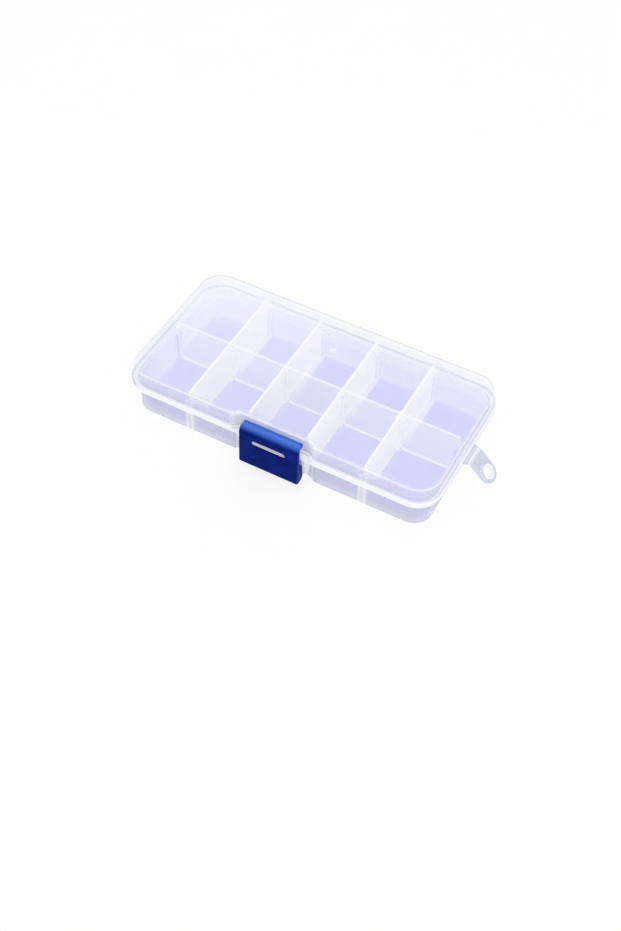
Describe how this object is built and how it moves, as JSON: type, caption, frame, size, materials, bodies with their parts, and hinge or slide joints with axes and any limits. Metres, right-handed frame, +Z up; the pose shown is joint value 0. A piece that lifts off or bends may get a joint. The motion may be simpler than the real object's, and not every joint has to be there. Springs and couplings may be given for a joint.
{
  "type": "compartment storage box",
  "caption": "Shallow translucent plastic parts box with hinged lid, blue snap latch, pierced hang tab and loose crossing dividers that split it into small compartments",
  "frame": {"origin": "centre of the tray's underside, on the surface it stands on", "axes": "+X along the length towards the hang tab, -Y towards the latch, +Z up"},
  "size_m": [0.1446, 0.0761, 0.022],
  "materials": {
    "clear_pp": "natural translucent polypropylene, glossy",
    "divider_pp": "natural translucent polypropylene, satin",
    "blue_pp": "opaque blue, glossy"
  },
  "bodies": {
    "tray_body": {"tray": "clear_pp", "cross_divider_1": "divider_pp", "cross_divider_2": "divider_pp", "cross_divider_3": "divider_pp", "cross_divider_4": "divider_pp", "short_divider_1": "divider_pp", "short_divider_2": "divider_pp", "short_divider_3": "divider_pp", "short_divider_4": "divider_pp", "short_divider_5": "divider_pp"},
    "lid_body": {"lid": "clear_pp"},
    "latch_body": {"latch": "blue_pp"},
    "tab_body": {"hang_tab": "clear_pp"}
  },
  "joints": [
    {"name": "lid_hinge", "type": "hinge", "parent": "tray_body", "child": "lid_body", "pos_m": [0, 0.03718, 0.01317], "axis": [-1, 0, 0], "range_deg": [0, 180]},
    {"name": "latch_pivot", "type": "hinge", "parent": "tray_body", "child": "latch_body", "pos_m": [0, -0.0339, 0.0034], "axis": [1, 0, 0], "range_deg": [0, 90]},
    {"name": "hang_tab_fold", "type": "hinge", "parent": "tray_body", "child": "tab_body", "pos_m": [0.069, 0, 0.0137], "axis": [0, 1, 0], "range_deg": [-45, 45]}
  ]
}
